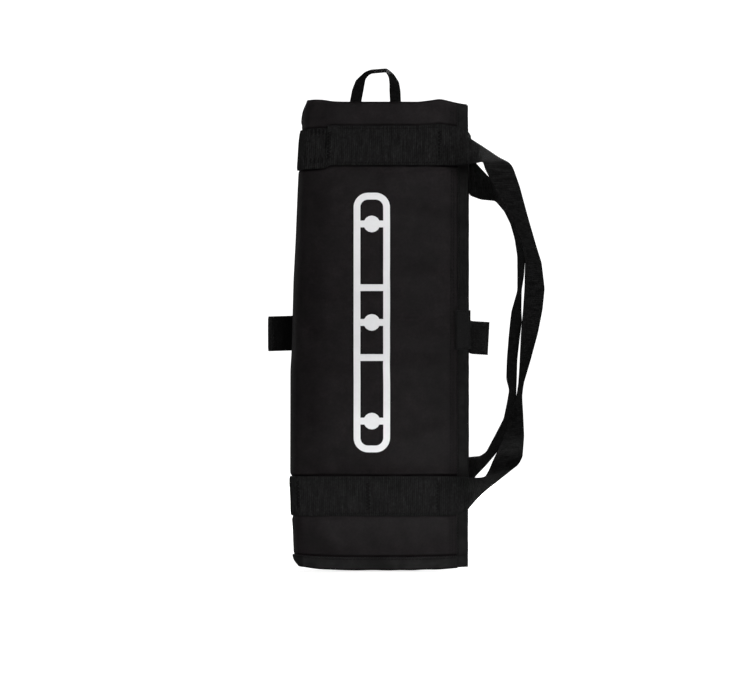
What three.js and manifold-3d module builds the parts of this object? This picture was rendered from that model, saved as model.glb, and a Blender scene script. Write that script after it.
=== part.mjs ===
// A padded carry wrap for hockey sticks and gear: a rectangular padded cover folded once round a soft
// spine, closed along its free edges with hook-and-loop tape and carried by two webbing handles.
//
// Units are millimetres. The closed wrap stands on its bottom hem: +Z runs up it, -Y faces out of the
// front cover, the spine is at -X and the opening at +X. Lengths below are measured from the middle of the
// bottom hem. At the end the group is moved so that its origin is the middle of the underside of its box.

import * as THREE from "three";
import { mergeVertices } from "three/addons/utils/BufferGeometryUtils.js";
import Module from "manifold-3d";

const wasm = await Module();
wasm.setup();

// ---- Driving dimensions ----

const HEIGHT = 452; // bottom hem to top hem
const OPENING_X = 85; // where the cover fabric ends, at the opening
const SPINE_X = -85; // outermost face of the spine
const FOLD_HALF = 12; // half the closed thickness at the spine
const EDGE_HALF = 3.9; // half the closed thickness at the opening
const TAPER_FROM_X = 15; // the cover is flat from the spine to here, then thins to the opening
const CORNER_R = 10; // radius of the cover where it turns on to the spine

const CLOTH = 0.9; // coated cover fabric
const FOAM = 4; // closed-cell foam sheet
const LINING = 0.7; // inner lining
const GAP = 0.2; // air between neighbouring layers

const WEBBING = 1.6; // thickness of all the strap webbing
const STRAP_WIDTH = 38;
const UPPER_STRAP_Z = 410; // middle of the strap near the top
const LOWER_STRAP_Z = 71.5; // middle of the strap near the bottom
const PIVOT_X = 58; // last row of tacks, where a handle leaves its straps

const BINDING = 0.8; // thickness of the edge tape
const BINDING_LIFT = 0.15; // air between the edge tape and the cover
const BINDING_WIDTH = 10;
const HEM_HEIGHT = 12;

const RAMP_TO_X = OPENING_X - BINDING_WIDTH - 1; // a strap rises to pass over the edge tape, from here
const RAMP_FROM_X = RAMP_TO_X - 5;

const TAPE_WIDTH = 17; // hook tape and loop tape
const TAPE = 1.3;
const TAPE_MIDDLE_X = 64;

const GIRTH_WIDTH = 32; // narrower strap across the back, with a tab at each end
const GIRTH_Z = 228;
const PATCH_WIDTH = 38;
const PATCH_Z = 232;

const LOOP_WIDTH = 10; // hanging loop
const LOOP_WEBBING = 1.2;

const FRONT = -1;
const REAR = 1;

// ---- Materials ----

function cloth(name, colour, roughness) {
  return new THREE.MeshStandardMaterial({ name, color: colour, roughness, metalness: 0 });
}

const COVER = cloth("cover_fabric", 0x1f1d1e, 0.55);
const LINER = cloth("lining_fabric", 0x262628, 0.8);
const PADDING = cloth("foam", 0x3a3a3c, 0.95);
const STRAP = cloth("webbing", 0x1a1a1a, 0.85);
const EDGING = cloth("binding_tape", 0x181818, 0.8);
const HOOKS = cloth("hook_tape", 0x141414, 0.7);
const LOOPS = cloth("loop_tape", 0x1c1c1c, 1);
const THREAD = cloth("thread", 0x111111, 0.6);
const PRINT = cloth("print", 0xe6e6e6, 0.5);

// ---- Solids ----

function toManifold(geometry) {
  const bare = geometry.clone();
  bare.deleteAttribute("normal");
  bare.deleteAttribute("uv");
  const merged = mergeVertices(bare, 1e-4);
  return new wasm.Manifold(
    new wasm.Mesh({
      numProp: 3,
      vertProperties: merged.attributes.position.array,
      triVerts: new Uint32Array(merged.index.array),
    }),
  );
}

function toGeometry(manifold) {
  const mesh = manifold.getMesh();
  const geometry = new THREE.BufferGeometry();
  geometry.setAttribute("position", new THREE.BufferAttribute(mesh.vertProperties, 3));
  geometry.setIndex(new THREE.BufferAttribute(mesh.triVerts, 1));
  const shaded = geometry.toNonIndexed();
  shaded.computeVertexNormals();
  return shaded;
}

function join(geometries) {
  return toGeometry(geometries.map(toManifold).reduce((whole, piece) => whole.add(piece)));
}

function cut(geometry, cutter) {
  return toGeometry(toManifold(geometry).subtract(toManifold(cutter)));
}

function extrude(points, z0, z1) {
  const outline = new THREE.Shape(points);
  const geometry = new THREE.ExtrudeGeometry(outline, { depth: z1 - z0, bevelEnabled: false });
  return geometry.translate(0, 0, z0);
}

// ---- The cover's cross-section ----

const FOLD_X = SPINE_X + CORNER_R; // the flat of the cover ends here and its corner begins
const CORNER_Y = FOLD_HALF - CORNER_R; // the corner's centre is at (FOLD_X, +-CORNER_Y)
const COVER_END = FOLD_X - CORNER_R * THREE.MathUtils.degToRad(30); // cover layers stop short of the crease
const COVER_STEP = 8; // longest straight run in a curved layer

function smooth(t) {
  return THREE.MathUtils.smoothstep(t, 0, 1);
}

// Half the closed thickness, from the middle plane to the outside of the cover fabric.
function outerHalf(x) {
  const rise = smooth((OPENING_X - x) / (OPENING_X - TAPER_FROM_X));
  return EDGE_HALF + (FOLD_HALF - EDGE_HALF) * rise;
}

const FOAM_END_X = TAPE_MIDDLE_X - TAPE_WIDTH / 2 - 2;
const LINING_EDGE_HALF = TAPE + 0.3; // the tapes meet on the middle plane, so the lining stays clear of them
const LINING_FOLD_HALF = FOLD_HALF - CLOTH - FOAM - LINING - 2 * GAP;

// Distance from the middle plane to the inside of the lining.
function innerHalf(x) {
  const rise = smooth((FOAM_END_X - x) / (FOAM_END_X - TAPER_FROM_X));
  return LINING_EDGE_HALF + (LINING_FOLD_HALF - LINING_EDGE_HALF) * rise;
}

// A point `lift` outside the cover fabric. `run` is x along the flat, and goes on as arc length round the corner.
function coverPoint(side, run, lift) {
  if (run >= FOLD_X) return new THREE.Vector2(run, side * (outerHalf(run) + lift));
  const angle = (FOLD_X - run) / CORNER_R;
  const radius = CORNER_R + lift;
  return new THREE.Vector2(
    FOLD_X - radius * Math.sin(angle),
    side * (CORNER_Y + radius * Math.cos(angle)),
  );
}

function runsBetween(from, to) {
  const steps = Math.max(1, Math.ceil(Math.abs(to - from) / COVER_STEP));
  return Array.from({ length: steps + 1 }, (_, i) => from + ((to - from) * i) / steps);
}

// A layer of even or varying thickness that follows the cover; low and high are lifts, or functions of run.
function layer(side, from, to, low, high, z0, z1) {
  const at = (lift, run) => (typeof lift === "function" ? lift(run) : lift);
  const breaks = [FOLD_X, TAPER_FROM_X, RAMP_FROM_X, RAMP_TO_X].filter((x) => x > from && x < to);
  const stops = [from, ...breaks, to];
  const runs = stops.slice(1).flatMap((stop, i) => runsBetween(stops[i], stop).slice(i ? 1 : 0));
  const inside = runs.map((run) => coverPoint(side, run, at(low, run)));
  const outside = runs.map((run) => coverPoint(side, run, at(high, run))).reverse();
  return extrude([...inside, ...outside], z0, z1);
}

// ---- Cover layers ----

const CLOTH_BOTTOM_Z = BINDING + GAP; // the hem binding wraps under the layers

const liningLow = (run) => innerHalf(run) - outerHalf(run);
const liningHigh = (run) => liningLow(run) + LINING;

function outerPanel(side) {
  const face = layer(side, COVER_END, OPENING_X, -CLOTH, 0, CLOTH_BOTTOM_Z, HEIGHT);
  const topHem = layer(side, FOLD_X, OPENING_X, liningLow, -CLOTH / 2, HEIGHT - CLOTH, HEIGHT);
  return join([face, topHem]);
}

function foamSheet(side) {
  const low = (run) => liningHigh(run) + GAP;
  return layer(side, FOLD_X, FOAM_END_X, low, -CLOTH - GAP, CLOTH_BOTTOM_Z, HEIGHT - CLOTH - GAP);
}

function lining(side) {
  return layer(side, FOLD_X, OPENING_X, liningLow, liningHigh, CLOTH_BOTTOM_Z, HEIGHT - CLOTH - GAP);
}

function closureTape(side) {
  const from = TAPE_MIDDLE_X - TAPE_WIDTH / 2;
  const low = (run) => liningLow(run) - GAP / 2 - TAPE;
  const high = (run) => liningLow(run) - GAP / 2;
  return layer(side, from, from + TAPE_WIDTH, low, high, HEM_HEIGHT + 2, HEIGHT - 4);
}

// Edge tape folded over the opening edge.
function edgeBinding(side) {
  const from = OPENING_X - BINDING_WIDTH;
  const low = (run) => liningLow(run) - BINDING_LIFT - BINDING;
  const channelLow = (run) => liningLow(run) - BINDING_LIFT;
  const end = OPENING_X + GAP + BINDING;
  const block = layer(side, from, end, low, BINDING_LIFT + BINDING, 0, HEIGHT);
  const channel = layer(side, from - 1, end - BINDING, channelLow, BINDING_LIFT, -1, HEIGHT + 1);
  return cut(block, channel);
}

// Edge tape folded under the bottom hem.
function hemBinding(side) {
  const from = FOLD_X + 1;
  const to = OPENING_X - BINDING_WIDTH - GAP;
  const low = (run) => liningLow(run) - BINDING_LIFT - BINDING;
  const channelLow = (run) => liningLow(run) - BINDING_LIFT;
  const block = layer(side, from, to, low, BINDING_LIFT + BINDING, 0, HEM_HEIGHT);
  const channel = layer(side, from - 1, to + 1, channelLow, BINDING_LIFT, BINDING, HEM_HEIGHT + 1);
  return cut(block, channel);
}

// ---- Straps sewn to the cover ----

const STRAP_OVER_BINDING = BINDING_LIFT + BINDING + GAP;

// The underside of a strap: on the cover, rising to pass over the edge tape.
function strapLow(run) {
  const ramp = THREE.MathUtils.clamp((run - RAMP_FROM_X) / (RAMP_TO_X - RAMP_FROM_X), 0, 1);
  return GAP + (STRAP_OVER_BINDING - GAP) * ramp;
}
const strapHigh = (run) => strapLow(run) + WEBBING;

function sewnStrap(side, from, to, middleZ, width) {
  return layer(side, from, to, strapLow, strapHigh, middleZ - width / 2, middleZ + width / 2);
}

const STITCH = 0.4; // how far a row of stitches stands proud
const STITCH_ROW = 1; // width of a row
const STITCH_INSET = 2.5; // from a strap's edge to its row of stitches
const TACK_COLUMNS = [-50, -10, PIVOT_X - 3]; // rows of tacks across a handle strap

function stitchBase(run) {
  return strapHigh(run) + GAP / 2;
}

// Two rows of stitches along a strap, joined by columns of tacks across it.
function strapStitching(side, columns, middleZ, width) {
  const top = (run) => stitchBase(run) + STITCH;
  const reach = width / 2 - STITCH_INSET;
  const last = columns.at(-1) + STITCH_ROW;
  const rows = [-reach, reach].map((z) =>
    layer(side, columns[0], last, stitchBase, top, middleZ + z - STITCH_ROW / 2, middleZ + z + STITCH_ROW / 2),
  );
  const tacks = columns.map((x) =>
    layer(side, x, x + STITCH_ROW, stitchBase, top, middleZ - reach, middleZ + reach),
  );
  return join([...rows, ...tacks]);
}

// The row of stitches that holds the closure tape, seen on the outside of the cover.
function tapeSeam(side) {
  const x = TAPE_MIDDLE_X + TAPE_WIDTH / 2 - STITCH_ROW;
  const clear = STRAP_WIDTH / 2 + 1; // it stops short of the handle straps
  const [z0, z1] = [LOWER_STRAP_Z + clear, UPPER_STRAP_Z - clear];
  return layer(side, x, x + STITCH_ROW, GAP / 2, GAP / 2 + STITCH, z0, z1);
}

// ---- Spine ----

const SPINE_SWEEP = THREE.MathUtils.degToRad(50); // how far the spine's layers turn towards each cover
const ARC_STEPS = 5;

// A C-shaped layer round the spine, `lift` outside its fabric.
function spineLayer(low, high, z0, z1) {
  const corner = (lift, side, k) => {
    const angle = Math.PI - (side * SPINE_SWEEP * k) / ARC_STEPS;
    const radius = CORNER_R + lift;
    return new THREE.Vector2(
      FOLD_X + radius * Math.cos(angle),
      side * CORNER_Y + radius * Math.sin(angle),
    );
  };
  const steps = Array.from({ length: ARC_STEPS + 1 }, (_, k) => k);
  const line = (lift) => [
    ...[...steps].reverse().map((k) => corner(lift, FRONT, k)),
    ...steps.map((k) => corner(lift, REAR, k)),
  ];
  return extrude([...line(low), ...line(high).reverse()], z0, z1);
}

// ---- Free webbing: handles and hanging loop ----

// A strap of even width swept along its two edges, so that it can lean and twist.
class Ribbon extends THREE.Curve {
  constructor(stations, width, lean) {
    super();
    const edges = stations.map(([outerX, outerZ, innerX, innerZ, y]) => {
      const seen = Math.min(width, Math.hypot(outerX - innerX, outerZ - innerZ));
      const depth = (lean * Math.sqrt(width * width - seen * seen)) / 2;
      return [new THREE.Vector3(outerX, y + depth, outerZ), new THREE.Vector3(innerX, y - depth, innerZ)];
    });
    this.outer = new THREE.CatmullRomCurve3(edges.map(([outer]) => outer));
    this.inner = new THREE.CatmullRomCurve3(edges.map(([, inner]) => inner));
  }

  getPoint(t, target = new THREE.Vector3()) {
    return target.addVectors(this.outer.getPoint(t), this.inner.getPoint(t)).multiplyScalar(0.5);
  }

  computeFrenetFrames(segments) {
    const frames = { tangents: [], normals: [], binormals: [] };
    for (let i = 0; i <= segments; i++) {
      const t = this.getUtoTmapping(i / segments);
      const tangent = this.getTangent(t);
      const across = this.outer.getPoint(t).sub(this.inner.getPoint(t)).normalize();
      const through = new THREE.Vector3().crossVectors(tangent, across).normalize();
      frames.tangents.push(tangent);
      frames.normals.push(across);
      frames.binormals.push(through);
    }
    return frames;
  }
}

function ribbon(stations, width, thickness, lean, steps) {
  const section = new THREE.Shape([
    new THREE.Vector2(-width / 2, -thickness / 2),
    new THREE.Vector2(width / 2, -thickness / 2),
    new THREE.Vector2(width / 2, thickness / 2),
    new THREE.Vector2(-width / 2, thickness / 2),
  ]);
  const path = new Ribbon(stations, width, lean);
  return new THREE.ExtrudeGeometry(section, { steps, extrudePath: path, bevelEnabled: false });
}

// Each station is outer edge x, z, inner edge x, z, and the depth y of the strap's middle line.
const ROOT_X = PIVOT_X + 0.5;
const ROOT_Y = outerHalf(PIVOT_X) + GAP + WEBBING / 2;

const FRONT_HANDLE = [
  [ROOT_X, 429, ROOT_X, 391, -ROOT_Y],
  [73, 428.7, 73, 391, -9.5],
  [82, 426, 82, 391.2, -14],
  [90, 419.5, 90, 392, -19],
  [107, 403.5, 99, 392.5, -17.8],
  [125, 391, 103, 391, -14],
  [130.5, 379.5, 107.5, 377, -13],
  [137.5, 360, 115.5, 358.5, -12],
  [144, 336, 127.5, 340, -11],
  [149.5, 316, 138, 319, -10],
  [154.5, 301, 142, 301, -10],
  [158.2, 277, 142.2, 277, -9.5],
  [157, 256, 141, 256, -9],
  [151.5, 231.5, 139, 231.5, -9],
  [145, 205.5, 137, 205.5, -9],
  [138, 181, 135.5, 181, -9],
  [136.5, 168, 133.5, 168, -9],
  [138, 152, 127.5, 152, -10],
  [139, 130, 120.5, 128, -11],
  [137, 109, 112, 106, -12.5],
  [132, 100.5, 106, 93.5, -13.5],
  [118, 90.5, 101, 89.5, -15],
  [104, 80, 95, 89.5, -16],
  [92, 66, 90, 89.5, -19.5],
  [82, 55.5, 82, 90.3, -15],
  [71.5, 52.7, 71.5, 90.5, -9.8],
  [ROOT_X, 52.5, ROOT_X, 90.5, -ROOT_Y],
];

const REAR_HANDLE = [
  [ROOT_X, 429, ROOT_X, 391, ROOT_Y],
  [73.5, 426, 70.5, 388.5, 9.5],
  [84, 420, 79.5, 383, 12],
  [88.5, 408.5, 83, 372, 13.5],
  [91, 396, 87, 363, 15],
  [98, 387, 99.5, 359.5, 15.5],
  [106.5, 377.5, 113, 358, 16.5],
  [120, 360, 122, 347.5, 16.5],
  [131.5, 339, 128, 335, 15.5],
  [137.5, 322.5, 132, 320.5, 14.5],
  [140, 304, 135, 304, 13.5],
  [138, 286.5, 135.5, 286.5, 13],
  [136.5, 270, 135.5, 270, 12.5],
  [136, 254, 130, 254, 12.5],
  [135.5, 231.5, 127.5, 231.5, 12.5],
  [132.5, 210, 125.5, 210, 12.5],
  [131.5, 186, 124.5, 186, 12.5],
  [131, 173.5, 128.5, 173.5, 12.5],
  [131.5, 162, 125.5, 160, 12.5],
  [128.5, 146.5, 123, 145.5, 13],
  [121.5, 128, 115.5, 130, 14],
  [112, 112.5, 106, 113, 15.5],
  [101.5, 101, 99.5, 109, 17.2],
  [93, 91, 90, 108.5, 18],
  [85, 79, 82, 108, 20.7],
  [74.5, 65.5, 72.5, 101.5, 13.5],
  [ROOT_X, 52.5, ROOT_X, 90.5, ROOT_Y],
];

const LOOP_Y = -9; // the loop stands in the middle of the front cover's padding
const LOOP_BASE_Z = HEIGHT + 0.6;

const HANGING_LOOP = [
  [-27.5, LOOP_BASE_Z, -17.5, LOOP_BASE_Z, LOOP_Y],
  [-25.5, 463, -15.5, 463, LOOP_Y],
  [-21.5, 473.5, -13.5, 474, LOOP_Y],
  [-16.5, 479, -11.5, 477, LOOP_Y],
  [-9.5, 482, -8.5, 478, LOOP_Y],
  [0, 483, 0, 479, LOOP_Y],
  [8.5, 484, 8, 479.5, LOOP_Y],
  [13.5, 479.5, 9.5, 475.5, LOOP_Y],
  [18, 472.5, 10, 470, LOOP_Y],
  [20, 463, 10, 463, LOOP_Y],
  [20.5, LOOP_BASE_Z, 10.5, LOOP_BASE_Z, LOOP_Y],
];

// ---- Tabs ----

const TAB_FOLD_X = -107; // the pull tab's folded end
const TAB_ROOT_X = FOLD_X - 2;
const TAB_LOW_Y = FOLD_HALF + 0.4;

// A length of webbing doubled back on itself.
function pullTab() {
  const plies = 2 * WEBBING + GAP;
  const middle = TAB_LOW_Y + plies / 2;
  const turn = Array.from({ length: 7 }, (_, k) => Math.PI / 2 + (Math.PI * k) / 6);
  const around = (r) =>
    turn.map((a) => new THREE.Vector2(TAB_FOLD_X + plies / 2 + r * Math.cos(a), middle + r * Math.sin(a)));
  const outline = [
    new THREE.Vector2(TAB_ROOT_X, middle + plies / 2),
    ...around(plies / 2),
    new THREE.Vector2(TAB_ROOT_X, middle - plies / 2),
    new THREE.Vector2(TAB_ROOT_X, middle - GAP / 2),
    ...around(GAP / 2).reverse(),
    new THREE.Vector2(TAB_ROOT_X, middle + GAP / 2),
  ];
  return extrude(outline, GIRTH_Z - GIRTH_WIDTH / 2, GIRTH_Z + GIRTH_WIDTH / 2);
}

const CLOSURE_ROOT_X = OPENING_X + 1.5;
const CLOSURE_END_X = 105.5;
const CLOSURE_LOW_Y = EDGE_HALF + STRAP_OVER_BINDING;
const CLOSURE_Z = 224; // the tab sags a little below its strap

function block(x0, x1, y0, y1, z0, z1) {
  const box = new THREE.BoxGeometry(x1 - x0, y1 - y0, z1 - z0);
  return box.translate((x0 + x1) / 2, (y0 + y1) / 2, (z0 + z1) / 2);
}

function closureTab() {
  const half = GIRTH_WIDTH / 2;
  const yTop = CLOSURE_LOW_Y + WEBBING;
  return block(CLOSURE_ROOT_X, CLOSURE_END_X, CLOSURE_LOW_Y, yTop, CLOSURE_Z - half, CLOSURE_Z + half);
}

// Hook tape on the side of the tab that folds on to the front patch.
function closureHook() {
  const half = GIRTH_WIDTH / 2 - 2;
  const yTop = CLOSURE_LOW_Y - GAP / 2;
  return block(CLOSURE_ROOT_X + 2, CLOSURE_END_X - 2, yTop - TAPE, yTop, CLOSURE_Z - half, CLOSURE_Z + half);
}

// Loop patch on the front of the opening edge, where the closure tab sticks.
function closurePatch() {
  const high = (run) => strapLow(run) + TAPE;
  const from = OPENING_X - 12.5;
  const half = PATCH_WIDTH / 2;
  return layer(FRONT, from, OPENING_X + GAP + BINDING, strapLow, high, PATCH_Z - half, PATCH_Z + half);
}

// ---- Printed mark: a plain plan of an ice rink, standing on end ----

const MARK = { x: -7, z: 239, halfWidth: 17.5, halfLength: 125, line: 6.5, corner: 14, spot: 8 };
const PRINT_THICK = 0.3;
const CROSS_LINES = [-0.76, -0.27, 0, 0.27, 0.76]; // goal, blue, centre, blue and goal lines
const SPOTTED_LINES = [-0.76, 0, 0.76]; // goal creases and the centre spot

function roundedRect(halfX, halfZ, r) {
  const s = new THREE.Shape();
  s.moveTo(-halfX + r, -halfZ);
  s.lineTo(halfX - r, -halfZ);
  s.absarc(halfX - r, -halfZ + r, r, -Math.PI / 2, 0);
  s.lineTo(halfX, halfZ - r);
  s.absarc(halfX - r, halfZ - r, r, 0, Math.PI / 2);
  s.lineTo(-halfX + r, halfZ);
  s.absarc(-halfX + r, halfZ - r, r, Math.PI / 2, Math.PI);
  s.lineTo(-halfX, -halfZ + r);
  s.absarc(-halfX + r, -halfZ + r, r, Math.PI, 1.5 * Math.PI);
  return s;
}

function plate(shape) {
  const settings = { depth: PRINT_THICK, bevelEnabled: false, curveSegments: 8 };
  return new THREE.ExtrudeGeometry(shape, settings);
}

function barAcross(z) {
  const reach = MARK.halfWidth - MARK.line / 2;
  return new THREE.BoxGeometry(2 * reach, MARK.line, PRINT_THICK).translate(0, z, PRINT_THICK / 2);
}

function rinkMark() {
  const boards = roundedRect(MARK.halfWidth, MARK.halfLength, MARK.corner);
  boards.holes.push(
    roundedRect(MARK.halfWidth - MARK.line, MARK.halfLength - MARK.line, MARK.corner - MARK.line),
  );
  const spot = new THREE.Shape().absarc(0, 0, MARK.spot, 0, 2 * Math.PI);
  const lines = CROSS_LINES.map((share) => barAcross(share * MARK.halfLength));
  const spots = SPOTTED_LINES.map((share) => plate(spot).translate(0, share * MARK.halfLength, 0));
  const flat = join([plate(boards), ...lines, ...spots]);
  flat.rotateX(Math.PI / 2);
  return flat.translate(MARK.x, -FOLD_HALF - GAP / 2, MARK.z);
}

// ---- Assembly ----

const BOX_MIDDLE_X = 26; // the handles reach further from the covers than the pull tab does

const wrap = new THREE.Group();
wrap.position.x = -BOX_MIDDLE_X;

function add(name, geometry, material) {
  const mesh = new THREE.Mesh(geometry, material);
  mesh.name = name;
  wrap.add(mesh);
}

for (const [side, word] of [
  [FRONT, "front"],
  [REAR, "rear"],
]) {
  add(`${word}_outer_panel`, outerPanel(side), COVER);
  add(`${word}_foam_sheet`, foamSheet(side), PADDING);
  add(`${word}_lining`, lining(side), LINER);
  add(`${word}_edge_binding`, edgeBinding(side), EDGING);
  add(`${word}_hem_binding`, hemBinding(side), EDGING);
  add(`${word}_tape_seam`, tapeSeam(side), THREAD);
  for (const [level, z] of [
    ["upper", UPPER_STRAP_Z],
    ["lower", LOWER_STRAP_Z],
  ]) {
    add(`${word}_${level}_strap`, sewnStrap(side, COVER_END, PIVOT_X, z, STRAP_WIDTH), STRAP);
    add(`${word}_${level}_tacks`, strapStitching(side, TACK_COLUMNS, z, STRAP_WIDTH), THREAD);
  }
}

add("front_loop_tape", closureTape(FRONT), LOOPS);
add("rear_hook_tape", closureTape(REAR), HOOKS);

add("spine_fabric", spineLayer(-CLOTH, 0, CLOTH_BOTTOM_Z, HEIGHT), COVER);
add("spine_lining", spineLayer(-CLOTH - GAP - LINING, -CLOTH - GAP, CLOTH_BOTTOM_Z, HEIGHT - GAP), LINER);
for (const [level, z] of [
  ["upper", UPPER_STRAP_Z],
  ["lower", LOWER_STRAP_Z],
]) {
  const half = STRAP_WIDTH / 2;
  add(`${level}_strap_wrap`, spineLayer(GAP, GAP + WEBBING, z - half, z + half), STRAP);
}

add("girth_strap", sewnStrap(REAR, FOLD_X, OPENING_X + 1, GIRTH_Z, GIRTH_WIDTH), STRAP);
add("girth_strap_tacks", strapStitching(REAR, [-50, PIVOT_X], GIRTH_Z, GIRTH_WIDTH), THREAD);
add("pull_tab", pullTab(), STRAP);
add("closure_tab", closureTab(), STRAP);
add("closure_hook_pad", closureHook(), HOOKS);
add("closure_loop_patch", closurePatch(), LOOPS);
add("rink_print", rinkMark(), PRINT);

const HANDLE_STEPS = 110;
const LOOP_STEPS = 40;
add("front_handle", ribbon(FRONT_HANDLE, STRAP_WIDTH, WEBBING, 1, HANDLE_STEPS), STRAP);
add("rear_handle", ribbon(REAR_HANDLE, STRAP_WIDTH, WEBBING, -1, HANDLE_STEPS), STRAP);
add("hanging_loop", ribbon(HANGING_LOOP, LOOP_WIDTH, LOOP_WEBBING, 1, LOOP_STEPS), STRAP);

export default wrap;
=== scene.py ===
"""A black padded carry wrap for hockey sticks, folded once and closed, with two webbing handles.

Everything is drawn in cover coordinates: millimetres from the middle of the cover's bottom hem, x towards
the opening, y to the back (the front cover is at -y) and z up. to_frame() turns them into the part's frame.
"""

import math

import bmesh
import bpy
import numpy as np
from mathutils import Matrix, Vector


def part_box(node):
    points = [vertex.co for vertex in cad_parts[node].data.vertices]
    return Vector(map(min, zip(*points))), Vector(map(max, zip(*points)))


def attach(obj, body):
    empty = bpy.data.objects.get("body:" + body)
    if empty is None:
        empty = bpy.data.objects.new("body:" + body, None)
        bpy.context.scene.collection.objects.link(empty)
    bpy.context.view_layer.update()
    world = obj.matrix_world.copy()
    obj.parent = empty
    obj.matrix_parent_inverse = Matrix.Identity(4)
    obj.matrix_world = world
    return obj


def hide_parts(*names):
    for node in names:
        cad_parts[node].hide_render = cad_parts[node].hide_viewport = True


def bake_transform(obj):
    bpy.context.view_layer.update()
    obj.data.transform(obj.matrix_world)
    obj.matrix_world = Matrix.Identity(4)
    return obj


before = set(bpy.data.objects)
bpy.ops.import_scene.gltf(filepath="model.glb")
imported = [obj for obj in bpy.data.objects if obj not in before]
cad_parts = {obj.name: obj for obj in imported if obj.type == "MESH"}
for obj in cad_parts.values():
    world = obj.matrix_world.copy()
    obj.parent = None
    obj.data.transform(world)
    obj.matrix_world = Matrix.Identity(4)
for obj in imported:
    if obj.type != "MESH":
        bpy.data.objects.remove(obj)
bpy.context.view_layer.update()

MM = 0.001
RNG = np.random.default_rng(11)
FRONT, REAR = -1, 1
WORD = {FRONT: "front", REAR: "rear"}
COVER_BODY = {FRONT: "front_cover", REAR: "rear_cover"}


def middle_and_width(node):
    low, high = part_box(node)
    return (low.z + high.z) / 2 / MM, (high.z - low.z) / MM


panel_low, panel_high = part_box("front_outer_panel")
fold_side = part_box("spine_fabric")[0].x
OFFSET = (panel_high.x + fold_side) / 2 / MM  # the cover's middle, in the part's frame
OPEN_X = (panel_high.x - fold_side) / 2 / MM
TOP = panel_high.z / MM
HALF = -panel_low.y / MM
UPPER_Z, STRAP_W = middle_and_width("front_upper_strap")
LOWER_Z = middle_and_width("front_lower_strap")[0]
GIRTH_Z, GIRTH_W = middle_and_width("girth_strap")
PATCH_Z, PATCH_W = middle_and_width("closure_loop_patch")
TAB_Z = middle_and_width("closure_tab")[0]

CORNER_R = 10.0
FOLD_X = -OPEN_X + CORNER_R
SPINE_FLAT = HALF - CORNER_R  # half the straight part of the fold's section
RUN_AT_FOLD = SPINE_FLAT + CORNER_R * math.pi / 2
TAPER_X = 15.0  # the wrap thins from here to its opening edge
EDGE_HALF = 3.9
INNER_FOLD_HALF, INNER_EDGE_HALF, INNER_EDGE_X = 6.0, 1.6, 53.5
SPINE_DEPTH = 2.4
PAD_END_X, HEM_END, TOP_HEM = 62, 14, 13  # the padding is free inside these seams
WEB = 1.6
TACK_X = 57.0  # last row of tacks: the handles are free beyond it


def smooth(t):
    t = np.clip(t, 0.0, 1.0)
    return t * t * (3 - 2 * t)


# ---- the cover's surface

def half_at(x):
    return EDGE_HALF + (HALF - EDGE_HALF) * smooth((OPEN_X - x) / (OPEN_X - TAPER_X))


def inner_half(x):
    full = smooth((INNER_EDGE_X - x) / (INNER_EDGE_X - TAPER_X))
    return INNER_EDGE_HALF + (INNER_FOLD_HALF - INNER_EDGE_HALF) * full


def run_at(x):
    return x - FOLD_X + RUN_AT_FOLD


def section(s):
    """Point and outward normal on the wrap's outside, s along the sheet from the fold, front negative."""
    a, side = np.abs(s), np.where(s < 0, -1.0, 1.0)
    turn = np.clip((a - SPINE_FLAT) / CORNER_R, 0, math.pi / 2)
    flat = np.maximum(a - RUN_AT_FOLD, 0)
    x = FOLD_X - CORNER_R * np.cos(turn) + flat
    y = np.minimum(a, SPINE_FLAT) + CORNER_R * np.sin(turn) + np.where(flat > 0, half_at(x) - HALF, 0)
    slope = np.where(flat > 0, half_at(x + 0.5) - half_at(x - 0.5), 0)
    nx, ny = -np.cos(turn) - slope * np.sin(turn), np.sin(turn)
    length = np.hypot(nx, ny)
    return x, side * y, nx / length, side * ny / length


def depth_at(s):
    """How thick one side of the padded sheet is."""
    x = FOLD_X + np.maximum(np.abs(s) - RUN_AT_FOLD, 0)
    padded = half_at(x) - inner_half(x)
    return SPINE_DEPTH + (padded - SPINE_DEPTH) * smooth((np.abs(s) - RUN_AT_FOLD + 2) / 15)


def soft_interp(value, knots, heights, blur):
    return np.mean([np.interp(value + d * blur, knots, heights) for d in (-1, -0.5, 0, 0.5, 1)], axis=0)


def lean_at(z):
    """How far the fold side leans in at a height."""
    return soft_interp(
        z, [0, 12, 22, 38, 53, 67, 96, 193, 212, 280, 318, 367, 400, 426, 440, 446, 453],
        [2.8, 2.6, 2.1, 1.5, 0.4, -0.5, -1, -0.8, 0.4, 2.2, 4.2, 6.2, 7.8, 9.2, 10.2, 11.9, 15.8], 4)


def strap_band(z, middle):
    return 1 - smooth((np.abs(z - middle) - STRAP_W / 2) / 4)


def shape(x, y, z):
    """The closed wrap's lean, its uneven hems and its rounded lower corner."""
    top = soft_interp(x, [-85, -76, -67, -58, -48, 34, 44, 57, 66, 75, 85],
                      [1.5, 2, 1.8, 0.4, 0, 0, 1.2, 3, 1, -1, -2.5], 3)
    bottom = soft_interp(x, [-85, -76, -67, -43, 26, 57, 73, 85], [4, 2.8, 1.6, 0.1, 0, 0.6, 1.5, 2.4], 6)
    z = z + top * smooth((z - 400) / 50) + bottom * smooth((40 - z) / 40)
    lean = lean_at(z)
    corner = 11 * np.clip(1 - z / 14, 0, 1) ** 2 * np.exp(-np.maximum(x + OPEN_X, 0) / 12)
    tight = np.maximum(strap_band(z, UPPER_Z), strap_band(z, LOWER_Z))
    pinch = 1.1 * tight * np.exp(-np.maximum(x + OPEN_X, 0) / 9)
    bow = soft_interp(z, [0, 60, 105, 385, 425, 452], [0, 0.1, 0.9, 0.9, 0.2, -0.2], 10)
    x = OPEN_X - (OPEN_X - x) * (1 - lean / (2 * OPEN_X)) + corner + pinch
    x = x + bow * smooth((x - 20) / 60)
    return x, y, z


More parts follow.
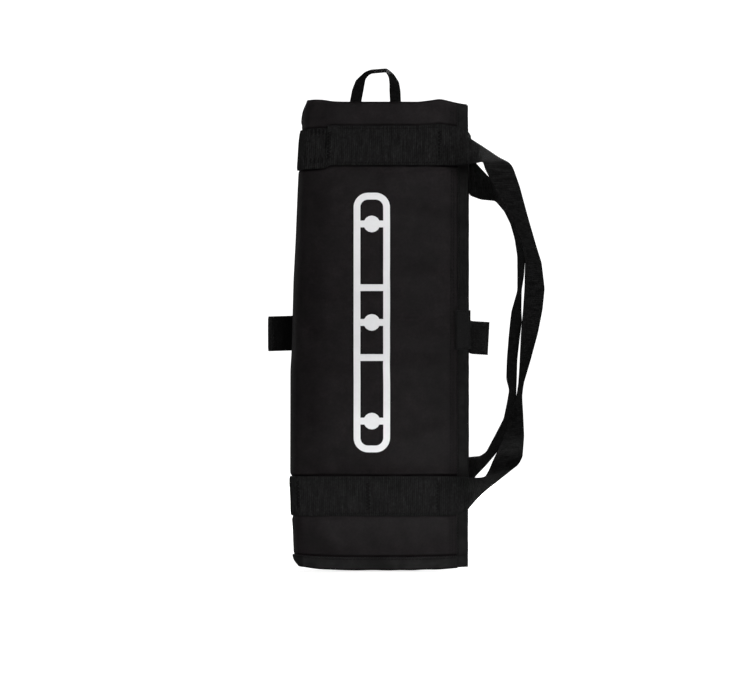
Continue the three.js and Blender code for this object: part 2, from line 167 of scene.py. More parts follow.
def base(s, z, lift):
    """A point `lift` outside the sheet's unswollen surface."""
    s, z, lift = np.broadcast_arrays(np.asarray(s, float), z, lift)
    x, y, nx, ny = section(s)
    return np.stack(shape(x + nx * lift, y + ny * lift, z), -1)


# ---- padding: cloth simulation between the seams

S_GRID = np.linspace(-run_at(OPEN_X), run_at(OPEN_X), 93)
Z_GRID = np.linspace(0, TOP, 115)
SIM_FRAMES = 20
SWELL_CAP = 4.0


def held(s, z):
    """1 where the sheet is sewn down, 0 where the padding is free to swell."""
    fade = 5
    x = FOLD_X + np.maximum(np.abs(s) - RUN_AT_FOLD, 0)

    def band(value, middle, half):
        return 1 - smooth((np.abs(value - middle) - half) / fade)

    pins = [smooth(past / fade) for past in (x - PAD_END_X, HEM_END - z, z - TOP + TOP_HEM)]
    pins += [band(z, UPPER_Z, STRAP_W / 2), band(z, LOWER_Z, STRAP_W / 2)]
    pins.append(band(z, GIRTH_Z, GIRTH_W / 2) * (s > 0))
    pins.append(1 - smooth((np.abs(s) - 7) / 16))
    return np.max(np.broadcast_arrays(*pins), axis=0)


def link(name, data):
    ob = bpy.data.objects.new(name, data)
    bpy.context.scene.collection.objects.link(ob)
    return ob


def quads(nu, nv, closed=False):
    """The faces of a grid of points; a closed one runs round like a tube."""
    i, j = np.meshgrid(np.arange(nu - 1), np.arange(nv if closed else nv - 1), indexing="ij")
    a, b = (i * nv + j).ravel(), (i * nv + (j + 1) % nv).ravel()
    return np.stack([a, a + nv, b + nv, b], -1)


def swell_by_cloth(ss, zz):
    rest = base(ss, zz, 0) * MM
    me = bpy.data.meshes.new("sim")
    me.from_pydata(rest.reshape(-1, 3).tolist(), [], quads(*ss.shape).tolist())
    ob = link("sim", me)
    bm = bmesh.new()
    bm.from_mesh(me)
    if sum(f.normal.y for f in bm.faces if f.calc_center_median().y < 0) > 0:
        bmesh.ops.reverse_faces(bm, faces=bm.faces)
    bm.to_mesh(me)
    bm.free()
    group = ob.vertex_groups.new(name="pin")
    for i, w in enumerate(held(ss, zz).ravel()):
        group.add([i], float(w), "REPLACE")
    c = ob.modifiers.new("cloth", "CLOTH").settings
    c.quality, c.mass, c.air_damping = 6, 0.25, 2
    c.tension_stiffness = c.compression_stiffness = 25
    c.shear_stiffness, c.bending_stiffness = 12, 4
    c.tension_damping = c.compression_damping = c.shear_damping = 8
    c.vertex_group_mass = "pin"
    c.use_pressure, c.uniform_pressure_force = True, 2.4
    c.shrink_min = -0.006
    c.effector_weights.gravity = 0
    scene = bpy.context.scene
    for f in range(1, SIM_FRAMES + 1):
        scene.frame_set(f)
    out = ob.evaluated_get(bpy.context.evaluated_depsgraph_get()).to_mesh()
    moved = (np.array([v.co for v in out.vertices]).reshape(rest.shape) - rest) / MM
    scene.frame_set(1)
    bpy.data.objects.remove(ob)
    return moved


def creases(s, z):
    """Shallow folds that run out from the straps and across the fold, along the surface normal."""
    total = np.zeros(np.broadcast(s, z).shape)
    for _ in range(70):
        side = RNG.choice([-1.0, 1.0])
        if RNG.random() < 0.55:
            strap, way = RNG.choice([UPPER_Z, LOWER_Z]), RNG.choice([-1.0, 1.0])
            cz = strap + way * (STRAP_W / 2 + RNG.uniform(6, 26))
            cs = side * run_at(RNG.uniform(-70, 60))
            angle = RNG.uniform(1.0, 2.1)
        else:
            cz, cs = RNG.uniform(30, 430), side * RNG.uniform(2, 50)
            angle = RNG.uniform(-0.5, 0.5)
        along = (s - cs) * math.cos(angle) + (z - cz) * math.sin(angle)
        across = -(s - cs) * math.sin(angle) + (z - cz) * math.cos(angle)
        wide, long = RNG.uniform(3.0, 6.5), RNG.uniform(12, 30)
        total += RNG.uniform(-0.9, 0.9) * np.exp(-(across / wide) ** 2 - (along / long) ** 2)
    return total * (1 - held(s, z))


def blur(field):
    for axis in (0, 1):
        field = (np.roll(field, 1, axis) + 2 * field + np.roll(field, -1, axis)) / 4
    return field


def swell_grid():
    """How far the padding pushes the outer fabric at each crossing of S_GRID and Z_GRID."""
    ss, zz = np.meshgrid(S_GRID, Z_GRID, indexing="ij")
    push = swell_by_cloth(ss, zz)
    size = np.linalg.norm(push, axis=-1, keepdims=True)
    push *= SWELL_CAP * np.tanh(size / SWELL_CAP) / np.maximum(size, 1e-9)
    push = blur(push) * (1 - held(ss, zz))[..., None]
    _, _, nx, ny = section(ss)
    normal = np.stack([nx, ny, 0 * nx], -1)
    push += creases(ss, zz)[..., None] * normal
    for leg in (-22.0, 15.0):  # the hanging loop's ends are sewn in under the top hem
        bump = np.exp(-((ss + run_at(leg)) / 6) ** 2 - ((zz - TOP + 6) / 9) ** 2)
        push += 1.1 * bump[..., None] * normal
    return push


SWELL = swell_grid()


def swell(s, z):
    i = np.clip((s - S_GRID[0]) / (S_GRID[1] - S_GRID[0]), 0, len(S_GRID) - 1.001)
    j = np.clip(z / (Z_GRID[1] - Z_GRID[0]), 0, len(Z_GRID) - 1.001)
    a, b = i.astype(int), j.astype(int)
    u, v = smooth(i - a)[..., None], smooth(j - b)[..., None]
    low = SWELL[a, b] * (1 - u) + SWELL[a + 1, b] * u
    high = SWELL[a, b + 1] * (1 - u) + SWELL[a + 1, b + 1] * u
    return low * (1 - v) + high * v


def skin(s, z, lift=0.0):
    """A point `lift` outside the cover's outer fabric, swollen with the padding."""
    s, z, lift = np.broadcast_arrays(np.asarray(s, float), np.asarray(z, float), np.asarray(lift, float))
    return base(s, z, lift) + swell(s, z)


# ---- meshes

def to_frame(points):
    return (np.asarray(points, float) + [OFFSET, 0, 0]) * MM


def unit(v):
    return v / np.maximum(np.linalg.norm(v, axis=-1, keepdims=True), 1e-9)


def make(name, points, faces, material, uv=None, shade=None):
    """A smooth-shaded piece; shade, one number a point, darkens its material."""
    me = bpy.data.meshes.new(name)
    me.from_pydata(to_frame(points).reshape(-1, 3).tolist(), [], [list(map(int, f)) for f in faces])
    bm = bmesh.new()
    bm.from_mesh(me)
    bmesh.ops.recalc_face_normals(bm, faces=bm.faces)
    bm.to_mesh(me)
    bm.free()
    me.polygons.foreach_set("use_smooth", np.ones(len(me.polygons), bool))
    if uv is not None:
        layer = me.uv_layers.new(name="UVMap")
        index = np.zeros(len(me.loops), np.int32)
        me.loops.foreach_get("vertex_index", index)
        layer.data.foreach_set("uv", np.asarray(uv, np.float32).reshape(-1, 2)[index].ravel())
    if shade is not None:
        layer = me.attributes.new("shade", "FLOAT", "POINT")
        layer.data.foreach_set("value", np.asarray(shade, np.float32).ravel())
    me.materials.append(material)
    ob = link(name, me)
    return ob


def grid_normals(p):
    return unit(np.cross(np.gradient(p, axis=0), np.gradient(p, axis=1)))


def arc_lengths(p, axis):
    step = np.linalg.norm(np.diff(p, axis=axis), axis=-1)
    return np.concatenate([[0], np.cumsum(step.mean(axis=1 - axis))])


def solid_grid(name, outer, inner, material, shade=None):
    """Closes two matching grids of points into one solid."""
    nu, nv = outer.shape[:2]
    n = nu * nv
    face = quads(nu, nv)
    ring = [(i, 0) for i in range(nu)] + [(nu - 1, j) for j in range(1, nv)]
    ring += [(i, nv - 1) for i in range(nu - 2, -1, -1)] + [(0, j) for j in range(nv - 2, 0, -1)]
    k = np.array([i * nv + j for i, j in ring])
    after = np.roll(k, -1)
    rim = np.stack([k, after, after + n, k + n], -1)
    faces = np.concatenate([face, face[:, ::-1] + n, rim[:, ::-1]])
    u, v = arc_lengths(outer, 0), arc_lengths(outer, 1)
    uv = np.stack(np.meshgrid(u, v, indexing="ij"), -1).reshape(-1, 2)
    points = np.concatenate([outer.reshape(-1, 3), inner.reshape(-1, 3)])
    if shade is not None:
        shade = np.concatenate([shade, shade])
    return make(name, points, faces, material, np.concatenate([uv, uv]), shade)


def cloth_sheet(name, p, thick, material, shade=None):
    """A sheet of fabric: p is its middle surface."""
    n = grid_normals(p) * thick / 2
    return solid_grid(name, p + n, p - n, material, shade)


def run_along(line):
    return np.concatenate([[0], np.cumsum(np.linalg.norm(np.diff(line, axis=0), axis=1))])


def points_at(t, run, line):
    return np.stack([np.interp(t, run, line[:, k]) for k in range(3)], -1)


FREE_PAINTED_SHADE = 0.7  # the free handles are painted darker than the sewn straps, as shade where they turn from the light


def sewn_here(mid):
    """1 along the sewn parts of a carry strap, 0 on the free handle."""
    return 1 - smooth((mid[:, 0] - TACK_X - 4) / 10)


def webbing(name, upper, lower, thick, material, rib=1.9, relief=0.12, rough=None, pale=None):
    """Woven webbing between two edge lines, with its cross ribs and rounded selvedges.

    Where `rough` is 1 it is drawn up by its stitching: the ribs stand prouder and it puckers.
    Where `pale` is 0 it has the free handles' painted shade, at 1 the sewn straps' colour, and above 1 a
    painted highlight.
    """
    run = run_along((upper + lower) / 2)
    count = int(run[-1] / (rib / 4)) + 1
    t = np.linspace(0, run[-1], count)
    up, low = points_at(t, run, upper), points_at(t, run, lower)
    mid, across = (up + low) / 2, up - low
    width = np.linalg.norm(across, axis=1, keepdims=True)
    across = across / width
    normal = unit(np.cross(np.gradient(mid, axis=0), across))
    v = np.sin(np.linspace(-1, 1, 15) * math.pi / 2)
    v = np.sign(v) * np.abs(v) ** 0.8
    crown = (1 - np.abs(v) ** 8) ** 0.5
    drawn = np.zeros(count) if rough is None else rough(mid)
    knots = np.arange(int(t[-1] / rib) + 3)
    each = np.interp(t / rib, knots, RNG.uniform(0.4, 1.6, len(knots)))
    wave = relief * (1 + 1.2 * drawn) * each * (np.abs(np.sin(math.pi * t / rib)) ** 0.7 - 0.6)
    height = (thick / 2 + wave[:, None]) * crown[None, :]
    pucker = np.zeros((count, len(v)))
    for _ in range(9):
        along, side, start = RNG.uniform(0.3, 1.1), RNG.uniform(-4, 4), RNG.uniform(0, 6.28)
        pucker += 0.05 * np.sin(along * t[:, None] + side * v[None, :] + start)
    pucker *= 0.25 + drawn[:, None]
    edge = (width / 2) * (1 + 0.006 * np.cos(2 * math.pi * t / rib))[:, None] * v[None, :]
    flat = mid[:, None, :] + across[:, None, :] * edge[..., None]
    flat = flat + normal[:, None, :] * (pucker * (1 - v ** 6))[..., None]
    over = flat + normal[:, None, :] * height[..., None]
    under = flat - normal[:, None, :] * height[..., None]
    rings = np.concatenate([over, under[:, -2:0:-1]], axis=1)
    m = rings.shape[1]
    faces = list(quads(count, m, closed=True))
    faces += [list(range(m)), list(range((count - 1) * m, count * m))[::-1]]
    round_v = np.concatenate([v, v[-2:0:-1]]) * width.mean() / 2
    uv = np.stack(np.meshgrid(t, round_v, indexing="ij"), -1)
    shade = np.ones(count) if pale is None else FREE_PAINTED_SHADE + (1 - FREE_PAINTED_SHADE) * pale(mid)
    return make(name, rings, faces, material, uv, np.repeat(shade, m))


def soften(a, b, radius, deep_radius, sewn=None, step=0.5):
    """Resamples two matching edge lines and rounds their corners, as stiff webbing takes a bend.

    Where `sewn` is 1 the lines stay as they are.
    """
    a, b = np.asarray(a, float), np.asarray(b, float)
    mid = (a + b) / 2
    run = run_along(mid)
    t = np.arange(0, run[-1], step)
    kept = np.zeros(len(t)) if sewn is None else sewn(points_at(t, run, mid))
    out = []
    for line in (a, b):
        p = points_at(t, run, line)
        for k, r in enumerate((radius, deep_radius, radius)):
            reach = int(3 * r / step)
            weight = np.exp(-0.5 * (np.arange(-reach, reach + 1) * step / r) ** 2)
            before, behind = 2 * p[0, k] - p[reach:0:-1, k], 2 * p[-1, k] - p[-2:-reach - 2:-1, k]
            q = np.concatenate([before, p[:, k], behind])
            p[:, k] = kept * p[:, k] + (1 - kept) * np.convolve(q, weight / weight.sum(), "valid")
        out.append(p)
    return out


def stitches(name, rows, radius):
    """Sewing thread: one small bowed capsule for each (start, end) pair of the rows."""
    bow, sides = 0.25, 6
    ends, up = (np.concatenate(part) for part in zip(*rows))
    start, along = ends[:, 0], ends[:, 1] - ends[:, 0]
    side = unit(np.cross(along, up))
    t = np.array([0, 0.12, 0.5, 0.88, 1.0])
    girth = radius * np.array([0.35, 0.9, 1.0, 0.9, 0.35])
    rise = bow * np.sin(math.pi * t) - radius * 0.5
    turn = np.linspace(0, 2 * math.pi, sides, endpoint=False)
    centre = start[:, None] + along[:, None] * t[None, :, None] + up[:, None] * rise[None, :, None]
    ring = (up[:, None, None] * np.cos(turn)[None, None, :, None]
            + side[:, None, None] * np.sin(turn)[None, None, :, None])
    points = centre[:, :, None] + ring * girth[None, :, None, None]
    last = len(t) - 1
    firsts = np.arange(len(start)) * sides * len(t)
    faces = (quads(len(t), sides, closed=True)[None] + firsts[:, None, None]).reshape(-1, 4).tolist()
    faces += [[first + m for m in range(sides - 1, -1, -1)] for first in firsts]
    faces += [[first + last * sides + m for m in range(sides)] for first in firsts]
    return make(name, points, faces, THREAD)


def outward(s, z, lift):
    return unit(skin(s, z, lift + 1.0) - skin(s, z, lift))


def row_on_skin(s0, z0, s1, z1, lift, pitch=3.4, length=2.7):
    """Stitches in a line on the cover's surface."""
    total = math.hypot(s1 - s0, z1 - z0)
    count = max(1, int(total / pitch))
    ds, dz = (s1 - s0) / total, (z1 - z0) / total
    d = np.arange(count) * pitch
    jitter = RNG.uniform(-0.12, 0.12, (2, count))
    a = skin(s0 + ds * d, z0 + dz * d + jitter[0], lift)
    b = skin(s0 + ds * (d + length), z0 + dz * (d + length) + jitter[1], lift)
    return np.stack([a, b], 1), outward(s0 + ds * d, z0 + dz * d, lift)


def tack_on_skin(s, z0, z1, lift, wide=4.4, pitch=1.75):
    """A zigzag tack across a strap, sewn over twice."""
    z = np.arange(z0, z1, pitch)
    way = np.where(np.arange(len(z)) % 2, 1.0, -1.0)
    ends = [np.stack([skin(s - way * wide / 2, z + shift, lift),
                      skin(s + way * wide / 2, z + pitch + shift, lift)], 1) for shift in (0.0, 0.55)]
    return np.concatenate(ends), np.tile(outward(s, z, lift), (2, 1))


# ---- materials

class Nodes:
    """Short names for building a node material."""

    def __init__(self, name):
        self.mat = bpy.data.materials.new(name)
        self.mat.use_nodes = True
        self.tree = self.mat.node_tree
        self.bsdf = self.tree.nodes["Principled BSDF"]
        where = self.add("ShaderNodeTexCoord").outputs
        self.place, self.uv = where["Object"], where["UV"]
        self.u, self.v = self.add("ShaderNodeSeparateXYZ", {0: self.uv}).outputs[:2]

    def add(self, kind, inputs=None, **settings):
        node = self.tree.nodes.new(kind)
        for key, value in settings.items():
            setattr(node, key, value)
        for key, value in (inputs or {}).items():
            self.feed(node.inputs[key], value)
        return node

    def feed(self, socket, value):
        if isinstance(value, bpy.types.NodeSocket):
            self.tree.links.new(value, socket)
        else:
            socket.default_value = value

    def math(self, operation, a, b=0.0):
        return self.add("ShaderNodeMath", {0: a, 1: b}, operation=operation).outputs[0]

    def total(self, a, b):
        return self.math("ADD", a, b)

    def product(self, first, *others):
        for other in others:
            first = self.math("MULTIPLY", first, other)
        return first

    def noise(self, scale, detail=3.0, rough=0.55, place=None):
        settings = {"Vector": self.place if place is None else place, "Scale": scale, "Detail": detail,
                    "Roughness": rough}
        return self.add("ShaderNodeTexNoise", settings).outputs["Fac"]

    def wave(self, value, pitch, power=1.0):
        s = self.math("ABSOLUTE", self.math("SINE", self.product(value, math.pi / pitch)))
        return self.math("POWER", s, power) if power != 1.0 else s

    def weave(self, pitch):
        """Over-and-under yarns: height 0 to 1."""
        su, sv = (self.math("SINE", self.product(way, math.pi / pitch)) for way in (self.u, self.v))
        over = self.math("GREATER_THAN", self.product(su, sv), 0.0)
        a, b = self.math("ABSOLUTE", su), self.math("ABSOLUTE", sv)
        return self.add("ShaderNodeMix", {0: over, 2: a, 3: b}).outputs[0]

    def shade(self):
        """The shade written on the piece's own points."""
        return self.add("ShaderNodeAttribute", attribute_name="shade").outputs["Fac"]

    def vary(self, scale, amount, detail=4.0, place=None):
        """1 plus or minus `amount`, in patches."""
        patches = self.noise(scale, detail, place=place)
        return self.remap(patches, 1 - amount, 1 + amount, 0.3, 0.7)

    def streaks(self, along, across):
        """A position stretched so that noise runs across the webbing."""
        stretch = (1 / along, 1 / across, 0)
        return self.add("ShaderNodeVectorMath", {0: self.uv, 1: stretch}, operation="MULTIPLY").outputs[0]

    def remap(self, value, low, high, start=0.0, end=1.0):
        return self.add("ShaderNodeMapRange", {0: value, 1: start, 2: end, 3: low, 4: high}).outputs[0]

    def bump(self, height, strength, distance, normal=None):
        inputs = {"Height": height, "Strength": strength, "Distance": distance * MM}
        if normal is not None:
            inputs["Normal"] = normal
        return self.add("ShaderNodeBump", inputs).outputs["Normal"]

    def tint(self, colour, factor):
        rgb = self.add("ShaderNodeMix", {"Factor": 1.0, 6: (*colour, 1.0)}, data_type="RGBA",
                       blend_type="MULTIPLY")
        grey = self.add("ShaderNodeCombineColor", {0: factor, 1: factor, 2: factor})
        self.feed(rgb.inputs[7], grey.outputs[0])
        return rgb.outputs[2]

    def finish(self, colour, shade, rough, normal=None, gleam=None):
        """Gives the surface its looks and returns the material."""
        looks = {"Base Color": self.tint(colour, shade), "Roughness": rough, "Normal": normal,
                 "Specular IOR Level": gleam}
        for key, value in looks.items():
            if value is not None:
                self.feed(self.bsdf.inputs[key], value)
        return self.mat


def cover_material():
    n = Nodes("coated_cover")
    weave = n.weave(0.55)
    patchy = n.product(n.vary(22.0, 0.26), n.vary(75.0, 0.34), n.vary(420.0, 0.3, 2.0))
    # n.shade() brings in the painted shade written on the points, which dims the gleam too
    shade = n.product(n.total(patchy, n.remap(weave, -0.14, 0.12)), n.shade())
    uneven = n.bump(n.noise(60.0, 4.0), 0.5, 1.2)
    return n.finish((0.0042, 0.0031, 0.0035), shade, n.remap(n.noise(160.0), 0.42, 0.6),
                    n.bump(weave, 0.5, 0.12, uneven), n.product(n.shade(), 0.09))


def webbing_material(name, colour, gleam):
    n = Nodes(name)
    warp = n.wave(n.v, 1.15, 0.6)
    yarn = n.wave(n.total(n.product(n.u, 1.4), n.v), 0.42)
    rib = n.wave(n.u, 1.9, 0.7)
    height = n.total(n.product(warp, 0.6), n.product(yarn, 0.25))
    # n.shade() brings in the handles' painted shade and painted highlights; the gleam fades with the painted
    # shade
    shade = n.product(n.remap(height, 0.7, 1.25), n.vary(1.0, 0.42, place=n.streaks(3.2, 16.0)),
                      n.vary(1.0, 0.35, 2.0, n.streaks(1.6, 3.0)), n.remap(rib, 0.55, 1.15), n.shade())
    return n.finish(colour, shade, n.remap(n.noise(35.0, 4.0), 0.6, 0.8), n.bump(height, 0.7, 0.25),
                    n.remap(n.shade(), 0.0, gleam, FREE_PAINTED_SHADE, 1.0))


def tape_material():
    n = Nodes("binding_tape")
    height = n.total(n.wave(n.u, 0.9, 0.7), n.product(n.wave(n.v, 0.5), 0.3))
    shade = n.total(n.remap(height, 0.7, 1.2), n.remap(n.noise(50.0), -0.15, 0.15))
    # n.shade() brings in the painted shade written on the points, which dims the gleam too
    shade = n.product(shade, n.vary(120.0, 0.5), n.vary(40.0, 0.5), n.shade())
    return n.finish((0.0038, 0.0037, 0.0037), shade, 0.6, n.bump(height, 0.6, 0.15),
                    n.product(n.shade(), 0.09))


def lining_material():
    n = Nodes("lining_nylon")
    twill = n.wave(n.total(n.u, n.v), 0.6)
    shade = n.total(n.remap(twill, 0.85, 1.1), n.remap(n.noise(22.0, 4.0), -0.2, 0.2))
    uneven = n.bump(n.noise(40.0, 4.0), 0.4, 1.0)
    return n.finish((0.021, 0.021, 0.022), shade, 0.62, n.bump(twill, 0.4, 0.1, uneven), 0.25)


def pile_material(name, colour, scale):
    n = Nodes(name)
    tuft = n.noise(scale, 5.0, 0.75)
    n.bsdf.inputs["Sheen Weight"].default_value = 0.03
    return n.finish(colour, n.remap(tuft, 0.4, 1.6), 0.95, n.bump(tuft, 0.9, 0.6), 0.12)


def foam_material():
    n = Nodes("closed_cell_foam")
    cell = n.add("ShaderNodeTexVoronoi", {"Vector": n.place, "Scale": 900.0}).outputs["Distance"]
    return n.finish((0.05, 0.05, 0.052), n.remap(cell, 0.7, 1.2), 0.9, n.bump(cell, 0.6, 0.4))


def thread_material():
    n = Nodes("thread")
    twist = n.noise(1500.0, 2.0)
    # the thread's dark colour is partly painted shade, for the gaps its stitches sink into
    return n.finish((0.0035, 0.0035, 0.0035), n.remap(twist, 0.5, 1.5), 0.8, n.bump(twist, 0.5, 0.1), 0.03)


def print_material():
    n = Nodes("screen_print")
    grain = n.noise(420.0)
    shade = n.total(n.remap(grain, 0.96, 1.03), n.remap(n.noise(30.0, 5.0), -0.03, 0.03))
    return n.finish((0.7, 0.7, 0.71), shade, n.remap(grain, 0.4, 0.6), n.bump(grain, 0.25, 0.15))


COVER, TAPE, LINING = cover_material(), tape_material(), lining_material()
WEBBING = webbing_material("webbing", (0.0086, 0.0086, 0.0086), 0.02)
# DARK_WEBBING is dark webbing, and its darkness is partly painted shade for the pull tab, which lies in
# shade behind the fold
DARK_WEBBING = webbing_material("webbing_dark_and_shaded", (0.0022, 0.0022, 0.0022), 0.035)
LOOP_PILE = pile_material("loop_pile", (0.0072, 0.0072, 0.0074), 1400.0)
HOOK_TAPE = pile_material("hook_plastic", (0.006, 0.006, 0.006), 700.0)
FOAM, THREAD, PRINT = foam_material(), thread_material(), print_material()

# ---- the parts each piece stands for, and the bodies some pieces are attached to


def follow_fold(piece, side, *nodes):
    """The piece runs from one cover on to the spine: hides the parts it stands for and bakes its place."""
    if nodes:
        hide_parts(*nodes)
    if side == FRONT:
        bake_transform(piece)
    else:
        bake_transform(piece)


def hang_from(piece, cover, body, start, end, *nodes):
    """Hides the parts the piece stands for and bakes its place; `cover`, `body`, `start` and `end` have no
    effect.
    """
    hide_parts(*nodes)
    start, end = to_frame([start, end])
    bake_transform(piece)


def stand_for(piece, body, *nodes):
    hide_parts(*nodes)
    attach(piece, body)


# ---- cover, lining, padding

RIM = 2.6
TURN_IN = 9.0
FABRIC, FABRIC_IN = 0.9, -0.45  # the outer fabric's thickness, and how far in its middle lies
DENTED = 1.0  # width of the grooves beside straps and hem tape
HEM_TAPE_END = 13.3


def sag(s):
    """The top strap droops where it passes round the fold."""
    a = np.abs(s)
    return -3.0 * (1 - smooth((a - run_at(-60.0)) / 8)) - 2.0 * (1 - smooth(a / run_at(-56.0)))


def drawn_in(side, s, z):
    """1 where stitching pulls the outer fabric in: beside each strap and above the hem tape."""
    reach, girth_reach = STRAP_W / 2 + 0.8, GIRTH_W / 2 + 0.8
    lines = [(HEM_TAPE_END, 1.0), (LOWER_Z - reach, 0.3), (LOWER_Z + reach, 1.15)]
    lines += [(UPPER_Z - reach + sag(s), 1.1), (UPPER_Z + reach + sag(s), 0.75)]
    if side == REAR:
        lines += [(GIRTH_Z - girth_reach, 0.7), (GIRTH_Z + girth_reach, 0.7)]
    return sum(much * np.exp(-((z - line) / DENTED) ** 2) for line, much in lines)


def painted_shade(s, z):
    """Painted shade: how much darker the fabric is made towards the fold, the edge tape and the straps'
    pinched corners, where shade falls.
    """
    x = FOLD_X + np.abs(s) - RUN_AT_FOLD
    dark = 0.24 * smooth((-40 - x) / 26) + 0.2 * smooth((x - 64) / 10) + 0 * z
    for line, way in ((UPPER_Z - STRAP_W / 2, -1), (LOWER_Z + STRAP_W / 2, 1)):
        away = (z - line) * way
        dark = dark + 0.55 * np.exp(-((x - 78) / 14) ** 2 - (away / 10.0) ** 2) * (away > 0)
    return dark * (0.8 + 0.2 * np.sin(z / 17.0 + 2.0 * np.sin(s / 13.0)))


def cover_rows():
    """Heights of the cover's rows of points, close together where the fabric is drawn in."""
    rows = [np.linspace(1.0, TOP - RIM, 180), np.arange(11.0, 16.0, 0.5)]
    for middle, half in ((LOWER_Z, STRAP_W / 2), (UPPER_Z, STRAP_W / 2), (GIRTH_Z, GIRTH_W / 2)):
        for line in (middle - half, middle + half):
            rows.append(np.arange(line - (7.0 if middle == UPPER_Z else 3.0), line + 3.0, 0.55))
    return np.unique(np.round(np.concatenate(rows), 1))


def build_fabric(side, s):
    """The outer fabric, turned in over the top edge."""
    up = cover_rows()[None, :]
    over = np.linspace(0, math.pi, 9)[1:]
    down = np.linspace(TOP - RIM, TOP - RIM - TURN_IN, 7)[1:]
    pull = drawn_in(side, s, up)
    outside = skin(s, up, FABRIC_IN - 0.6 * pull)
    lift = FABRIC_IN - (depth_at(s) - 2.1) / 2 * (1 - np.cos(over))[None, :]
    rim = skin(s, (TOP - RIM + RIM * np.sin(over))[None, :], FABRIC_IN)
    rim = rim + base(s, TOP - RIM, lift) - base(s, TOP - RIM, FABRIC_IN)
    inside = rim[:, -1:, :] + base(s, down[None, :], 0) - base(s, TOP - RIM, 0)
    p = np.concatenate([outside, rim, inside], axis=1)
    shade = np.ones(p.shape[:2])
    rows = up.shape[1]
    # painted shade: darker in the grooves where stitching draws the fabric in, unevenly along them, and
    # towards the fold, the edge tape and the pinched strap corners
    shade[:, :rows] -= pull * (0.68 + 0.14 * np.sin(s / 7.0 + 2.0 * np.sin(s / 19.0)))
    shade[:, :rows] *= 1 - painted_shade(s, up)
    fabric = cloth_sheet(f"{WORD[side]}_cover_fabric", p, FABRIC, COVER, shade)
    follow_fold(fabric, side, f"{WORD[side]}_outer_panel", *(["spine_fabric"] if side == FRONT else []))


def build_lining(side, s):
    z = np.linspace(1.5, TOP - RIM - 6, 120)[None, :]
    loose = smooth((run_at(48.0) - np.abs(s)) / 20) * smooth((np.abs(s) - 8) / 14)
    loose = loose * smooth((z - 13) / 14) * smooth((TOP - 13 - z) / 14)
    ruffle = 0.5 + 0.3 * np.sin(s / 9.0 + z / 23.0) + 0.2 * np.sin(z / 11.0 - s / 21.0 + side)
    p = base(s, z, -(depth_at(s) - 0.35 + 0.9 * loose * ruffle))
    lining = cloth_sheet(f"{WORD[side]}_lining_fabric", p, 0.6, LINING)
    follow_fold(lining, side, f"{WORD[side]}_lining", *(["spine_lining"] if side == FRONT else []))


def build_foam(side):
    x0, x1, z0, z1 = FOLD_X + 3, 52.0, 3.0, TOP - 13.5
    x, z = np.linspace(x0, x1, 40)[:, None], np.linspace(z0, z1, 90)[None, :]
    s = side * run_at(x)
    edge = np.minimum(smooth((x - x0) / 6), smooth((x1 - x) / 6))
    edge = np.minimum(edge, np.minimum(smooth((z - z0) / 4), smooth((z1 - z) / 4)))
    room = (depth_at(s) - 2.6) / 2 * (0.45 + 0.55 * edge)
    middle = -0.3 - depth_at(s) / 2
    foam = solid_grid(f"{WORD[side]}_foam_pad", base(s, z, middle + room), base(s, z, middle - room),
                      FOAM)
    stand_for(foam, COVER_BODY[side], f"{WORD[side]}_foam_sheet")


for side in (FRONT, REAR):
    run = side * np.linspace(0, run_at(OPEN_X), int(run_at(OPEN_X) / 2.4) + 1)[:, None]
    build_fabric(side, run)
    build_lining(side, run)
    build_foam(side)

# ---- edge tape and its stitches

TAPE_T = 0.7
TAPE_X = 75.0
TURN = np.linspace(0, math.pi, 8)[1:-1]  # round the tape's fold


def folded_tape(outer, inner, push, ripple):
    """A tape folded round an edge: its outer leg, its turn pushed out by `push`, and its inner leg."""
    a, b = outer[:, -1:], inner[:, :1]
    turned = (a + b) / 2 + (a - b) / 2 * np.cos(TURN)[None, :, None]
    turned = turned + np.array(push) * np.sin(TURN)[None, :, None]
    p = np.concatenate([outer, turned, inner], axis=1)
    return p + grid_normals(p) * ripple[..., None]


def build_edge_tape(side):
    z = np.linspace(0.6, TOP - 0.6, 226)[:, None]
    x = np.array([TAPE_X, 75.15, 76.5, 78.5, 80.5, 82.5, 84.6])
    s = side * run_at(x)[None, :]
    lift = 0.55
    inner = skin(s[:, ::-1], z, -(depth_at(s)[:, ::-1] + lift))
    p = folded_tape(skin(s, z, lift), inner, [1.15, 0, 0], 0.12 * np.sin(z / 5.3 + 1.3 * np.sin(z / 31.0)))
    shade = np.ones(p.shape[:2])
    # painted shade: the tape is darker beside the cover's painted shade, in a line at the hem tape's top,
    # and darker still round its turn
    shade[:, :len(x)] = (1 - painted_shade(s, z)) * (1 - 0.6 * np.exp(-((z - HEM_TAPE_END) / DENTED) ** 2))
    shade[:, len(x):len(x) + len(TURN)] = 0.45
    tape = cloth_sheet(f"{WORD[side]}_edge_tape", p, TAPE_T, TAPE, shade)
    stand_for(tape, COVER_BODY[side], f"{WORD[side]}_edge_binding")


def build_hem_tape(side):
    s = (side * np.linspace(0, run_at(75.6), 130))[:, None]
    z = np.linspace(12.0, 0.9, 7)[None, :]
    inner = skin(s, z[:, ::-1], -(depth_at(s) + 0.5))
    p = folded_tape(skin(s, z, 0.75), inner, [0, 0, -0.9], 0.14 * np.sin(s / 4.7 + 1.1 * np.sin(s / 19.0)))
    tape = cloth_sheet(f"{WORD[side]}_hem_tape", p, TAPE_T, TAPE, np.ones(p.shape[:2]))
    follow_fold(tape, side, f"{WORD[side]}_hem_binding")
    row = row_on_skin(side * 1.0, 10.2, side * run_at(TAPE_X), 10.2, 1.15)
    follow_fold(stitches(f"{WORD[side]}_hem_stitches", [row], 0.3), side)


